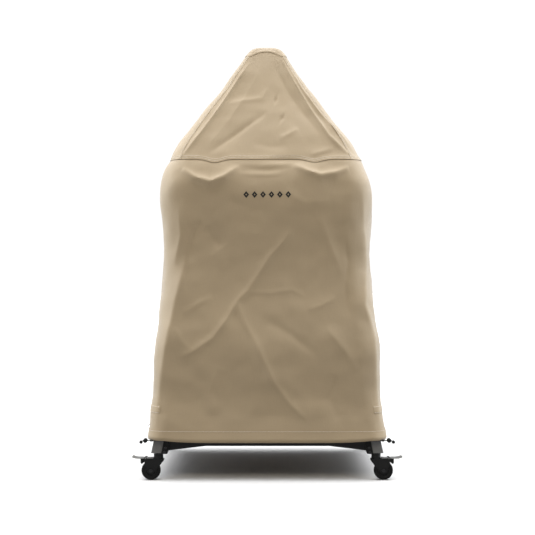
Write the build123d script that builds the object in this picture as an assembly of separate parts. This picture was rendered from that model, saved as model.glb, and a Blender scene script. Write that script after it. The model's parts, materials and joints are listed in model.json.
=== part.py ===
from build123d import *
import math
import os

# A fitted fabric cover over a domed outdoor oven on a wheeled stand.
# Millimetres. The origin is on the floor under the middle of the stand, +Z is up and the front faces -Y.
# Each piece is drawn once for the +X, +Y corner or side and mirrored by the signs in SIDES and CORNERS.

SIDES = {"left": -1, "right": 1}
CORNERS = {"front_left": (-1, -1), "front_right": (1, -1), "rear_left": (-1, 1), "rear_right": (1, 1)}
BRAKED = ("front_left", "front_right")

# cover: outside of the cloth as height, half width, half depth and corner radius
HEM_Z = 137
HEM_TOP_Z = 185
SEAM_Z = 1181
CAP_SEAM_Z = 1607
TOP_Z = 1649
SKIRT_PROFILE = [
    (HEM_Z, 446, 376, 72),
    (300, 425, 355, 76),
    (480, 420, 350, 80),
    (820, 388, 318, 84),
    (1060, 402, 332, 90),
    (1110, 393, 323, 90),
    (SEAM_Z, 364, 294, 90),
]
ROOF_PROFILE = [SKIRT_PROFILE[-1], (CAP_SEAM_Z, 84, 75, 26)]
CAP_PROFILE = [ROOF_PROFILE[-1], (TOP_Z, 49, 44, 18)]
CLOTH = 3
HEM_THICK = 5
SEAM_SLOPE = 0.8

# drawcord, its eyelets and its two locks
CORD_R = 2.0
CORD_Z = 147
CORD_INSET = 9
CORD_END_X = 413.6
CORD_Y = -358
EYELET_R = 4.2
LOCK_X = 446
LOCK_R = 8.0
LOCK_LENGTH = 20
LOCK_FRONT_Y = CORD_Y - 7
BUTTON_R = 5.0
BUTTON_TRAVEL = 4
BUTTON_PROUD = 5
BUTTON_DEPTH = 10.5
BORE_DEPTH = 18
FIT = 0.08
KNOB_LENGTH = 13

# side straps
STRAP_Z = 244
STRAP_TALL = 28
STRAP_HALF_LENGTH = 260
STRAP_THICK = 2
BUCKLE_Y = -120
TAIL_TIP_Z = 162
TAIL_KICK = 20

# stand
LEG = 38
LEG_WALL = 2
LEG_BOTTOM_Z = 100
LEG_TOP_Z = 876
FOOT_X = 407
FOOT_Y = 335
LEAN_X = math.tan(math.radians(11))
LEAN_Y = math.tan(math.radians(8))
BRACKET_Z = (97, 152)
BRACKET_THICK = 22
RAIL_Z = (124, 150)
RAIL_THICK = 20
GUSSET_END_X = 222
GUSSET_DROP = 17
BOLT_ZS = (103, 118)
PLATE = 90
TABLE_Z = 880
TABLE_THICK = 20
TABLE_SIZE = (710, 570)
TABLE_CORNER = 95
PAN_SIZE = (660, 540)
PAN_CORNER = 100
PAN_WALL = 3

# oven
OVEN_FLOOR_Z = 950
SHEET = 3
DOME_WALL = 4
DOME_PROFILE = [
    (OVEN_FLOOR_Z, 325, 265, 100),
    (1100, 318, 255, 110),
    (1210, 255, 200, 110),
    (1290, 120, 100, 60),
]
MOUTH = (360, 128)
MOUTH_Y = -250
ARCH_RISE = 60
ARCH_TOP = 220
FLUE_R = 42
FLUE_WALL = 3
FLUE_TOP_Z = 1640
COLLAR_R = 58
COLLAR_THICK = 5

# casters: measured outwards from the stem, which stands a little inside the foot of the leg
STEM_X = 400
STEM_R = 6
FLANGE_R = 11
TRAIL = 27
WHEEL_R = 35
WHEEL_WIDTH = 22
HUB_R = 22
AXLE_R = 4
CHEEK_IN = 12.5
CHEEK_THICK = 3
DECK_Z = (73, 78)
HOUSING_R = 17
HOUSING_TOP_Z = 96.7
PEDAL_PIVOT = (46, 80)
PEDAL_PIN_R = 2


def leg_centre(z):
    """Plan position of a leg's centre at height z."""
    return (FOOT_X - LEAN_X * (z - LEG_BOTTOM_Z), FOOT_Y - LEAN_Y * (z - LEG_BOTTOM_Z))


def section_at(profile, z):
    """The section of a straight-sided profile at height z."""
    for low, high in zip(profile, profile[1:]):
        if low[0] <= z <= high[0]:
            t = (z - low[0]) / (high[0] - low[0])
            return tuple(a + t * (b - a) for a, b in zip(low, high))
    return profile[-1]


def block(profile, inset=0):
    """A closed block through the rounded rectangles of a profile."""
    faces = []
    for z, width, depth, radius in profile:
        outline = RectangleRounded(2 * (width - inset), 2 * (depth - inset), radius - inset)
        faces.append(Plane.XY.offset(z) * outline)
    return loft(faces, ruled=True)


def prism(points, low, high, plane=Plane.XY):
    """A polygon, drawn on a plane, as a block between two offsets from it."""
    face = make_face(Polyline(*points, close=True).edges())
    return extrude(plane.offset(low) * face, amount=high - low)


def upright(points, half_width):
    """A side view in X and Z as a block of that half width across Y."""
    return prism([(x, z) for x, z in points], -half_width, half_width, Plane.XZ)


def rod(start, end, radius):
    """A round bar between two points."""
    axis = Vector(*end) - Vector(*start)
    return extrude(Plane(origin=start, z_dir=axis) * Circle(radius), amount=axis.length)


def leaning(points, low_z, high_z):
    """A plan outline, drawn about the leg's centre, as a bar that leans with the leg."""
    faces = []
    for z in (low_z, high_z):
        x, y = leg_centre(z)
        face = make_face(Polyline(*[(x + a, y + b) for a, b in points], close=True).edges())
        faces.append(Plane.XY.offset(z) * face)
    return loft(faces, ruled=True)


def mirrored(shape, sx, sy=1):
    """The +X, +Y drawing carried to another side or corner."""
    if sx < 0:
        shape = mirror(shape, about=Plane.YZ)
    if sy < 0:
        shape = mirror(shape, about=Plane.XZ)
    return shape


def save(name, *shapes):
    """Write one node: each shape in it stays a separate solid."""
    solids = [solid for shape in shapes for solid in shape.solids()]
    whole = solids[0] if len(solids) == 1 else Compound(children=solids)
    export_step(whole, f"parts/{name}.step")


def wedges():
    """The four quarters of the plan, which meet at the cover's corner seams."""
    reach = 1000
    x, y = reach, reach * SEAM_SLOPE
    corners = {
        "front": [(0, 0), (-x, -y), (x, -y)],
        "back": [(0, 0), (x, y), (-x, y)],
        "left": [(0, 0), (-x, y), (-x, -y)],
        "right": [(0, 0), (x, -y), (x, y)],
    }
    return {side: prism(points, 0, TOP_Z) for side, points in corners.items()}


def cover_cloth():
    """The skirt and roof panels, the cap and the hem."""
    skirt_profile = [section_at(SKIRT_PROFILE, HEM_TOP_Z)] + SKIRT_PROFILE[1:]
    skirt = block(skirt_profile) - block(skirt_profile, CLOTH)
    roof = block(ROOF_PROFILE) - block(ROOF_PROFILE, CLOTH)
    for side, wedge in wedges().items():
        save(f"skirt_{side}_panel", skirt & wedge)
        save(f"roof_{side}_panel", roof & wedge)
    inside = [CAP_PROFILE[0], section_at(CAP_PROFILE, TOP_Z - CLOTH)]
    save("cap_panel", block(CAP_PROFILE) - block(inside, CLOTH))
    hem_profile = [SKIRT_PROFILE[0], section_at(SKIRT_PROFILE, HEM_TOP_Z)]
    hem = block(hem_profile) - block(hem_profile, HEM_THICK)
    for sx in SIDES.values():
        hem -= rod((sx * 380, CORD_Y, CORD_Z), (sx * 440, CORD_Y, CORD_Z), EYELET_R)
    save("hem_band", hem)


def lock_body():
    """A barrel that lies front to back, bored for its button and drilled across for the cord."""
    front = Plane(origin=(LOCK_X, LOCK_FRONT_Y, CORD_Z), z_dir=(0, 1, 0))
    barrel = extrude(front * Circle(LOCK_R), amount=LOCK_LENGTH)
    barrel = fillet(barrel.edges().filter_by(GeomType.CIRCLE), 1.5)
    barrel -= extrude(front * Circle(BUTTON_R + FIT), amount=BORE_DEPTH)
    return barrel - rod((LOCK_X - 20, CORD_Y, CORD_Z), (LOCK_X + 20, CORD_Y, CORD_Z), CORD_R + 0.3)


def lock_button():
    """The plunger, with a long hole that lets the cord pass over the whole stroke."""
    face = Plane(origin=(LOCK_X, LOCK_FRONT_Y - BUTTON_PROUD, CORD_Z), z_dir=(0, 1, 0))
    button = extrude(face * Circle(BUTTON_R), amount=BUTTON_PROUD + BUTTON_DEPTH)
    button = fillet(button.edges().sort_by(Axis.Y)[0], 1.5)
    hole_y = CORD_Y - BUTTON_TRAVEL / 2
    slot = Box(40, 2 * CORD_R + BUTTON_TRAVEL + 0.6, 2 * CORD_R + 0.6)
    return button - Pos(LOCK_X, hole_y, CORD_Z) * slot


def lock_spring():
    """The coil between the plunger and the bottom of the bore."""
    start_y = LOCK_FRONT_Y + BUTTON_DEPTH
    wire = 0.4
    height = BORE_DEPTH - BUTTON_DEPTH - 2 * wire - 0.2
    path = Helix(pitch=height / 5, height=height, radius=3.4)
    coil = sweep(Plane(origin=path @ 0, z_dir=path % 0) * Circle(wire), path=path)
    return Pos(LOCK_X, start_y + wire + 0.1, CORD_Z) * Rot(-90, 0, 0) * coil


CORD_KNEE = Vector(LOCK_X + 8.4, CORD_Y, CORD_Z)
KNOB_DIRECTION = Vector(0.8, 0, -0.6)
KNOB_START = CORD_KNEE + KNOB_DIRECTION * 3.3


def end_knob():
    """The bell on the cord's end, blind-drilled for it and drawn out to a point."""
    outline = [(0, 0), (3.4, 0), (6.4, 3), (6.8, 7), (5, 10), (1.2, KNOB_LENGTH), (0, KNOB_LENGTH)]
    face = make_face(Polyline(*[(r, 0, h) for r, h in outline], close=True).edges())
    bell = revolve(face, axis=Axis.Z)
    bell -= Cylinder(CORD_R, 4, align=(Align.CENTER, Align.CENTER, Align.MIN))
    return Plane(origin=KNOB_START, z_dir=KNOB_DIRECTION) * bell


def cord_loop():
    """The cord's run round the inside of the hem."""
    _, width, depth, radius = SKIRT_PROFILE[0]
    loop = RectangleRounded(2 * (width - CORD_INSET), 2 * (depth - CORD_INSET), radius - CORD_INSET)
    wire = (Plane.XY.offset(CORD_Z) * loop).wires()[0]
    return sweep(Plane(origin=wire @ 0, z_dir=wire % 0) * Circle(CORD_R), path=wire)


def cord_end():
    """One of the cord's two ends, led out through its eyelet and lock to a knob."""
    start = Vector(CORD_END_X, CORD_Y, CORD_Z)
    end = rod(start, CORD_KNEE, CORD_R) + Pos(CORD_KNEE) * Sphere(CORD_R)
    return end + rod(CORD_KNEE, KNOB_START + KNOB_DIRECTION * 4, CORD_R)


def eyelet():
    """A tube through the hem at a front corner."""
    start, end = (418.2, CORD_Y, CORD_Z), (428, CORD_Y, CORD_Z)
    return rod(start, end, EYELET_R) - rod(start, end, CORD_R + 0.2)


def cover_hardware():
    save("hem_drawcord", cord_loop(), *[mirrored(cord_end(), sx) for sx in SIDES.values()])
    save("cord_eyelets", *[mirrored(eyelet(), sx) for sx in SIDES.values()])
    save("cord_end_knobs", *[mirrored(end_knob(), sx) for sx in SIDES.values()])
    for side, sx in SIDES.items():
        save(f"cord_lock_{side}", mirrored(lock_body(), sx))
        save(f"cord_lock_button_{side}", mirrored(lock_button(), sx))
        save(f"cord_lock_spring_{side}", mirrored(lock_spring(), sx))


def wall_x(z):
    """Outside of the cover's side wall at height z."""
    return section_at(SKIRT_PROFILE, z)[1]


def side_strap():
    """A webbing band sewn flat along the side panel."""
    gap = 0.1
    top_z = STRAP_Z + STRAP_TALL
    inner = [(wall_x(STRAP_Z) + gap, STRAP_Z), (wall_x(top_z) + gap, top_z)]
    outer = [(x + STRAP_THICK, z) for x, z in reversed(inner)]
    return upright(inner + outer, STRAP_HALF_LENGTH)


def strap_buckle():
    """A two-slot slider clipped over the band."""
    clear = STRAP_THICK + 0.4
    thick = 4
    low, high = STRAP_Z - 4, STRAP_Z + STRAP_TALL + 4
    side = [(wall_x(low) + clear, low), (wall_x(high) + clear, high)]
    side += [(wall_x(high) + clear + thick, high), (wall_x(low) + clear + thick, low)]
    plate = Pos(0, BUCKLE_Y, 0) * upright(side, 16)
    mid_z = (low + high) / 2
    for offset in (-6, 6):
        plate -= Pos(wall_x(mid_z), BUCKLE_Y + offset, mid_z) * Box(40, 5, STRAP_TALL - 4)
    return plate


def strap_tail(kick):
    """The loose end of the strap below the buckle; its tip stands off the cloth by kick."""
    thick = 1.5
    line = [(STRAP_Z - 5, 1), (TAIL_TIP_Z + 38, 1), (TAIL_TIP_Z + 14, 1 + 0.4 * kick), (TAIL_TIP_Z, 1 + kick)]
    inner = [(wall_x(z) + off, z) for z, off in line]
    outer = [(x + thick, z) for x, z in reversed(inner)]
    return Pos(0, BUCKLE_Y, 0) * upright(inner + outer, 12)


def straps():
    for side, sx in SIDES.items():
        save(f"side_strap_{side}", mirrored(side_strap(), sx))
    save("strap_buckles", *[mirrored(strap_buckle(), sx) for sx in SIDES.values()])
    kicks = {"left": TAIL_KICK, "right": 0}
    save("strap_tails", *[mirrored(strap_tail(kicks[side]), sx) for side, sx in SIDES.items()])


def square(size, radius=0):
    """Corner points of a square about the origin, its corners cut off by radius."""
    half = size / 2
    near = half - radius
    if radius == 0:
        return [(-half, -half), (half, -half), (half, half), (-half, half)]
    return [
        (-near, -half), (near, -half), (half, -near), (half, near),
        (near, half), (-near, half), (-half, near), (-half, -near),
    ]


def leg():
    """A leaning square tube, cut level at both ends."""
    outside = leaning(square(LEG, 3), LEG_BOTTOM_Z, LEG_TOP_Z)
    return outside - leaning(square(LEG - 2 * LEG_WALL), LEG_BOTTOM_Z, LEG_TOP_Z)


def corner_bracket():
    """An angle that wraps the leg's two inner faces, with a tapered arm under the long rail."""
    half = LEG / 2
    far = half + BRACKET_THICK
    plan = [(-half, 17), (-far, 17), (-far, -far), (17, -far), (17, -half), (-half, -half)]
    angle = leaning(plan, *BRACKET_Z)
    rail_z = RAIL_Z[0]
    root_x = leg_centre(rail_z)[0] - far
    arm_points = [(GUSSET_END_X, rail_z), (root_x + 6, rail_z - GUSSET_DROP), (root_x + 6, rail_z)]
    arm = Pos(0, leg_centre(rail_z)[1], 0) * upright(arm_points, 4)
    bracket = angle + arm
    for z in BOLT_ZS:
        x, y = leg_centre(z)
        centre_x = x - half - BRACKET_THICK / 2
        bracket -= rod((centre_x, y - 60, z), (centre_x, y + 60, z), 3)
    return bracket


def bracket_bolt(z):
    """A bolt through the angle, its round head towards the outside."""
    x, y = leg_centre(z)
    centre_x = x - LEG / 2 - BRACKET_THICK / 2
    head_y = leg_centre(z - 5)[1] + 17.2
    head = rod((centre_x, head_y, z), (centre_x, head_y + 3, z), 4.6)
    return head + rod((centre_x, y - 20, z), (centre_x, head_y, z), 3)


def long_rail():
    """The flat rail between the brackets of the two front or two rear legs."""
    far = LEG / 2 + BRACKET_THICK
    low, high = [leg_centre(z)[0] - far for z in RAIL_Z]
    points = [(-low, RAIL_Z[0]), (low, RAIL_Z[0]), (high, RAIL_Z[1]), (-high, RAIL_Z[1])]
    return Pos(0, leg_centre(sum(RAIL_Z) / 2)[1], 0) * upright(points, RAIL_THICK / 2)


def short_rail():
    """The rail between the brackets of a front and a rear leg."""
    far = LEG / 2 + BRACKET_THICK
    low, high = [leg_centre(z)[1] - far for z in RAIL_Z]
    points = [(-low, RAIL_Z[0]), (low, RAIL_Z[0]), (high, RAIL_Z[1]), (-high, RAIL_Z[1])]
    middle_x = leg_centre(sum(RAIL_Z) / 2)[0]
    return prism(points, middle_x - RAIL_THICK / 2, middle_x + RAIL_THICK / 2, Plane.YZ)


def stand():
    for corner, (sx, sy) in CORNERS.items():
        save(f"leg_{corner}", mirrored(leg(), sx, sy))
    save("rail_front", mirrored(long_rail(), 1, -1))
    save("rail_rear", long_rail())
    for side, sx in SIDES.items():
        save(f"rail_{side}", mirrored(short_rail(), sx))
    save("corner_brackets", *[mirrored(corner_bracket(), sx, sy) for sx, sy in CORNERS.values()])
    bolts = [bracket_bolt(z) for z in BOLT_ZS]
    save("bracket_bolts", *[mirrored(bolt, sx, sy) for sx, sy in CORNERS.values() for bolt in bolts])
    x, y = leg_centre(LEG_TOP_Z)
    plate = Box(PLATE, PLATE, TABLE_Z - LEG_TOP_Z, align=(Align.CENTER, Align.CENTER, Align.MIN))
    plates = [mirrored(Pos(x, y, LEG_TOP_Z) * plate, sx, sy) for sx, sy in CORNERS.values()]
    save("leg_top_plates", *plates)
    table = extrude(Plane.XY.offset(TABLE_Z) * RectangleRounded(*TABLE_SIZE, TABLE_CORNER), amount=TABLE_THICK)
    save("table_top", table)


def oven():
    """A sheet-steel pan, a thin dome with an arched mouth, and a flue."""
    table_top_z = TABLE_Z + TABLE_THICK
    pan = Plane.XY.offset(table_top_z) * RectangleRounded(*PAN_SIZE, PAN_CORNER)
    inside = [size - 2 * PAN_WALL for size in PAN_SIZE]
    hollow = Plane.XY.offset(table_top_z) * RectangleRounded(*inside, PAN_CORNER - PAN_WALL)
    tall = OVEN_FLOOR_Z - table_top_z
    save("oven_base", extrude(pan, amount=tall) - extrude(hollow, amount=tall - SHEET))
    inside = [section_at(DOME_PROFILE, z) for z, *_ in DOME_PROFILE[:-1]]
    inside.append(section_at(DOME_PROFILE, DOME_PROFILE[-1][0] - DOME_WALL))
    dome = block(DOME_PROFILE) - block(inside, DOME_WALL)
    width, height = MOUTH
    spring_z = OVEN_FLOOR_Z + height - ARCH_RISE
    top_z = OVEN_FLOOR_Z + height
    outline = [(-width / 2, OVEN_FLOOR_Z), (width / 2, OVEN_FLOOR_Z), (width / 2, spring_z)]
    outline += [(ARCH_TOP / 2, top_z), (-ARCH_TOP / 2, top_z), (-width / 2, spring_z)]
    dome -= Pos(0, MOUTH_Y, 0) * upright(outline, 100)
    dome -= Pos(0, 0, DOME_PROFILE[-1][0]) * Cylinder(FLUE_R - FLUE_WALL, 60)
    save("oven_dome", dome)
    base_z = DOME_PROFILE[-1][0]
    pipe = rod((0, 0, base_z), (0, 0, FLUE_TOP_Z), FLUE_R)
    pipe += rod((0, 0, base_z), (0, 0, base_z + COLLAR_THICK), COLLAR_R)
    save("oven_flue", pipe - rod((0, 0, base_z), (0, 0, FLUE_TOP_Z), FLUE_R - FLUE_WALL))


def caster_stem():
    """The swivel pin with its flange and the plug that holds it in the leg."""
    plug = leaning(square(LEG - 2 * LEG_WALL), LEG_BOTTOM_Z, LEG_BOTTOM_Z + 30)
    pin = rod((STEM_X, FOOT_Y, DECK_Z[0] + 1), (STEM_X, FOOT_Y, LEG_BOTTOM_Z + 10), STEM_R)
    flange = rod((STEM_X, FOOT_Y, LEG_BOTTOM_Z - 3), (STEM_X, FOOT_Y, LEG_BOTTOM_Z), FLANGE_R)
    return plug + pin + flange


def fork(braked):
    """The swivel housing, its deck and two cheeks, drawn with the stem at the origin."""
    low, high = DECK_Z
    deck_end = 42 if braked else 46
    body = prism([(-20, -15.5), (deck_end, -15.5), (deck_end, 15.5), (-20, 15.5)], low, high)
    body += rod((0, 0, high), (0, 0, HOUSING_TOP_Z), HOUSING_R)
    ear_z = PEDAL_PIVOT[1] + 4
    side = [(-20, high), (-20, low - 1), (-7, 55), (13, 30), (27, 20), (41, 30), (50, 60)]
    side += [(50, ear_z), (42, ear_z), (42, high)] if braked else [(46, high)]
    cheek = upright(side, CHEEK_THICK / 2)
    middle = CHEEK_IN + CHEEK_THICK / 2
    body += Pos(0, -middle, 0) * cheek
    body += Pos(0, middle, 0) * cheek
    body -= rod((0, 0, 0), (0, 0, 200), STEM_R + 0.05)
    body -= rod((TRAIL, -40, WHEEL_R), (TRAIL, 40, WHEEL_R), AXLE_R)
    if braked:
        x, z = PEDAL_PIVOT
        body -= rod((x, -40, z), (x, 40, z), PEDAL_PIN_R + 0.05)
    return body


def axle():
    """The wheel bolt and its nut."""
    outer = CHEEK_IN + CHEEK_THICK
    pin = rod((TRAIL, -outer, WHEEL_R), (TRAIL, outer, WHEEL_R), AXLE_R)
    for sy in (-1, 1):
        pin += rod((TRAIL, sy * outer, WHEEL_R), (TRAIL, sy * (outer + 3), WHEEL_R), 6.5)
    return pin


def turned(outline):
    """A ring turned about the axle from its radius and offset points."""
    face = make_face(Polyline(*[(r, 0, y) for r, y in outline], close=True).edges())
    return Pos(TRAIL, 0, WHEEL_R) * Rot(-90, 0, 0) * revolve(face, axis=Axis.Z)


def hub():
    """A dished plastic hub with a raised boss."""
    half, rim, web = 11.5, 9.5, 5
    bore = AXLE_R + 0.05
    side = [(bore, half), (8, half), (9, web), (18, web), (19, rim), (HUB_R, rim)]
    return turned([(r, -y) for r, y in side] + list(reversed(side)))


def tyre():
    """A solid tyre with a groove round each side wall."""
    half = WHEEL_WIDTH / 2
    side = [(HUB_R, half - 1.5), (26, half), (27, half - 1.2), (28.5, half - 1.2), (29.5, half)]
    side += [(32, half - 0.6), (34.2, half - 3), (WHEEL_R, half - 6)]
    return turned([(r, -y) for r, y in side] + list(reversed(side)))


def pedal():
    """The pressed-steel foot lever on its cross pin, narrow between the cheeks and wide outside."""
    low, high = 79.4, 82
    view = [(19, low), (72, low), (84, low + 1), (96, low + 5)]
    view += [(95, high + 5.5), (83, high + 1.4), (72, high), (19, high)]
    lever = upright(view, 17)
    trim = CHEEK_IN - 0.6
    for sy in (-1, 1):
        lever -= Pos(37, sy * (trim + 10), high) * Box(40, 20, 20)
    x, z = PEDAL_PIVOT
    return lever + rod((x, -CHEEK_IN - 2.5, z), (x, CHEEK_IN + 2.5, z), PEDAL_PIN_R)


def brake_shoe():
    """The block under the pedal that is pressed on the tread."""
    return upright([(49, 79.4), (49, 68), (60, 58.5), (65, 62), (65, 79.4)], 9) - pedal()


def casters():
    save("caster_stems", *[mirrored(caster_stem(), sx, sy) for sx, sy in CORNERS.values()])
    for corner, (sx, sy) in CORNERS.items():
        pieces = {"caster_fork": fork(corner in BRAKED), "axle": axle()}
        pieces.update({"wheel_hub": hub(), "tyre": tyre()})
        if corner in BRAKED:
            pieces["brake_pedal"] = pedal()
            pieces["brake_shoe"] = brake_shoe()
        for piece, shape in pieces.items():
            save(f"{piece}_{corner}", mirrored(Pos(STEM_X, FOOT_Y, 0) * shape, sx, sy))


os.makedirs("parts", exist_ok=True)
cover_cloth()
cover_hardware()
straps()
stand()
oven()
casters()
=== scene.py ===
import json
import math

import bmesh
import bpy
import numpy as np
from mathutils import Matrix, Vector, noise


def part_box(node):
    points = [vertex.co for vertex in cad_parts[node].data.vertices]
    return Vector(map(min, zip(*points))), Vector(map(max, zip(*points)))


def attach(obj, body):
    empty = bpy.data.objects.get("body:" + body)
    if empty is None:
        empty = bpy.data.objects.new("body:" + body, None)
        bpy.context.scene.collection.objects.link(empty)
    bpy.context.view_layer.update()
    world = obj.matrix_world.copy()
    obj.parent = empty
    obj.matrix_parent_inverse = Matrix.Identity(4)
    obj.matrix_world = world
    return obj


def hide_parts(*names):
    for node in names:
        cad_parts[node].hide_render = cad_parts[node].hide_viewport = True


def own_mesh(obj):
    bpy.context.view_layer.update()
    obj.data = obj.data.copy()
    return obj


# A grill cover over an oven on a wheeled stand. Metres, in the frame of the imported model.

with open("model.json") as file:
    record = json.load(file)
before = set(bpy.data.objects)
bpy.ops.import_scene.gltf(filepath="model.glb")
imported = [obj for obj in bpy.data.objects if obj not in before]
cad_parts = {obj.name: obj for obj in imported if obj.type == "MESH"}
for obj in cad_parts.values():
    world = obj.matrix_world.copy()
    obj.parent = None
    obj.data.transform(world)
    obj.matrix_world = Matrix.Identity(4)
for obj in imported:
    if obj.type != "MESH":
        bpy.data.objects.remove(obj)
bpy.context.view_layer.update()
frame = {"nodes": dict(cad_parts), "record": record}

# ---------------------------------------------------------------- camera and stage

camera_data = bpy.data.cameras.new("camera")
camera_data.lens = 74.35
camera_data.sensor_width = 36
camera = bpy.data.objects.new("camera", camera_data)
camera.location = (0.001, -4.4, 0.78)
camera.rotation_euler = (math.pi / 2, 0, 0)
bpy.context.collection.objects.link(camera)
bpy.context.scene.camera = camera
bpy.context.scene.view_settings.view_transform = "Standard"

MIDDLE = Vector((0, 0, 0.8))
COOL, WARM = (0.92, 1.0, 1.12), (1.0, 0.88, 0.68)
SIDE_BOX, SIDE_POWER = (2.0, 2.2), 88
HIGH_BOX, HIGH_POWER = (1.8, 1.2), 25


def area_light(name, place, size, power, colour):
    """A soft box at a place, facing the middle of the object."""
    data = bpy.data.lights.new(name, "AREA")
    data.color = colour
    data.shape = "RECTANGLE"
    data.size, data.size_y = size
    data.energy = power
    light = bpy.data.objects.new(name, data)
    light.location = place
    light.rotation_euler = (MIDDLE - Vector(place)).to_track_quat("-Z", "Y").to_euler()
    bpy.context.collection.objects.link(light)
    return light


left_box = area_light("left_box", (-2.8, 0.2, 2.3), SIDE_BOX, SIDE_POWER, COOL)
right_box = area_light("right_box", (2.8, 0.2, 2.3), SIDE_BOX, SIDE_POWER, COOL)
area_light("high_box", (-0.6, -3.4, 3.1), HIGH_BOX, HIGH_POWER, WARM)

# ---------------------------------------------------------------- shader expressions


class Socket:
    """A shader value that arithmetic can be written with."""

    def __init__(self, nodes, link):
        self.nodes = nodes
        self.link = link

    def math(self, operation, *values):
        return self.nodes.node("ShaderNodeMath", {"operation": operation}, dict(enumerate(values)))

    def __add__(self, other):
        return self.math("ADD", self, other)

    def __sub__(self, other):
        return self.math("SUBTRACT", self, other)

    def __mul__(self, other):
        return self.math("MULTIPLY", self, other)

    def __rsub__(self, other):
        return self.math("SUBTRACT", other, self)

    __radd__ = __add__
    __rmul__ = __mul__


class Nodes:
    """A node tree that grows by node calls and expressions."""

    def __init__(self, tree):
        self.tree = tree

    def node(self, kind, settings=None, inputs=None, out=0):
        """A node of a kind, its settings first and then the values or links of its sockets."""
        node = self.tree.nodes.new(kind)
        for key, value in (settings or {}).items():
            setattr(node, key, value)
        for key, value in (inputs or {}).items():
            if isinstance(value, Socket):
                self.tree.links.new(value.link, node.inputs[key])
            else:
                node.inputs[key].default_value = value
        return Socket(self, node.outputs[out])

    def ease(self, value, low, high):
        """Rises smoothly from 0 to 1 as the value goes from low to high."""
        span = {"Value": value, "From Min": low, "From Max": high}
        return self.node("ShaderNodeMapRange", {"interpolation_type": "SMOOTHSTEP"}, span)

    def mix(self, factor, first, second):
        """Goes from the first colour to the second as the factor goes from 0 to 1."""
        return self.node("ShaderNodeMix", {"data_type": "RGBA"}, {0: factor, 6: first, 7: second}, out=2)


class Finish(Nodes):
    """One material on the principled shader."""

    def __init__(self, name, **constants):
        self.material = bpy.data.materials.new(name)
        self.material.use_nodes = True
        super().__init__(self.material.node_tree)
        self.shader = self.tree.nodes["Principled BSDF"]
        for key, value in constants.items():
            self.shader.inputs[key.replace("_", " ")].default_value = value

    def place(self):
        """Where a point is on the object."""
        return self.node("ShaderNodeTexCoord", out="Object")

    def cloth_place(self):
        """Where a point is on the piece's own cloth, in metres."""
        return self.node("ShaderNodeUVMap", {"uv_map": "cloth"})

    def noise(self, place, scale, detail=2.0, rough=0.5):
        """Cloudy values from 0 to 1."""
        inputs = {"Vector": place, "Scale": scale, "Detail": detail, "Roughness": rough}
        return self.node("ShaderNodeTexNoise", inputs=inputs)

    def wave(self, place, scale, axis, distortion=0.0):
        """Even bands across an axis."""
        settings = {"wave_type": "BANDS", "bands_direction": axis, "wave_profile": "SIN"}
        inputs = {"Vector": place, "Scale": scale, "Distortion": distortion}
        return self.node("ShaderNodeTexWave", settings, inputs)

    def stretched(self, place, scale):
        """The same place with each axis scaled on its own."""
        return self.node("ShaderNodeMapping", inputs={"Vector": place, "Scale": scale})

    def give(self, name, value):
        """Links a value to one of the shader's own sockets."""
        self.tree.links.new(value.link, self.shader.inputs[name])

    def bump(self, height, distance, strength):
        """Relief of a height in metres."""
        inputs = {"Height": height, "Distance": distance, "Strength": strength}
        self.give("Normal", self.node("ShaderNodeBump", inputs=inputs))


WHITE = (1, 1, 1, 1)
DAYLIGHT = (0.99, 1.0, 1.015, 1)
OVERHEAD_POWER, SIDES_POWER, BASE_POWER, FRONT_DIMMED = 3.95, 0.38, 0.30, 0.74
BACKDROP_POWER = 1.05


def make_world():
    """A studio: bright above and to the sides, dim in front, and plain white to the eye."""
    world = bpy.data.worlds.new("studio")
    world.use_nodes = True
    w = Nodes(world.node_tree)
    toward = w.node("ShaderNodeTexCoord", out="Generated")
    apart = {axis: w.node("ShaderNodeSeparateXYZ", inputs={"Vector": toward}, out=axis) for axis in "XYZ"}
    overhead = w.ease(apart["Z"], 0.55, 0.97)
    sides = w.ease(apart["X"] * apart["X"], 0.25, 0.95)
    front = w.ease(apart["Y"] * -1.0, 0.05, 0.75)
    lifted = w.ease(apart["Z"], -0.10, 0.30)
    around = (sides * SIDES_POWER + BASE_POWER) * lifted
    power = (overhead * OVERHEAD_POWER + around) * (1.0 - front * FRONT_DIMMED)
    lighting = w.node("ShaderNodeBackground", inputs={"Color": DAYLIGHT, "Strength": power})
    plain = w.node("ShaderNodeBackground", inputs={"Color": WHITE, "Strength": BACKDROP_POWER})
    seen = w.node("ShaderNodeLightPath", out="Is Camera Ray")
    choice = w.node("ShaderNodeMixShader", inputs={0: seen, 1: lighting, 2: plain})
    output = next(node for node in world.node_tree.nodes if node.type == "OUTPUT_WORLD")
    world.node_tree.links.new(choice.link, output.inputs["Surface"])
    bpy.context.scene.world = world


make_world()


def shade(colour, factor):
    """A colour made lighter or darker."""
    return tuple(min(1.0, c * factor) for c in colour[:3]) + (1.0,)


CANVAS = (0.405, 0.305, 0.182, 1.0)
CANVAS_THREAD, WEBBING_THREAD = 0.0011, 0.0016
# slubs to the metre, across a thread and along it
SLUBS = (520.0, 26.0)


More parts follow.
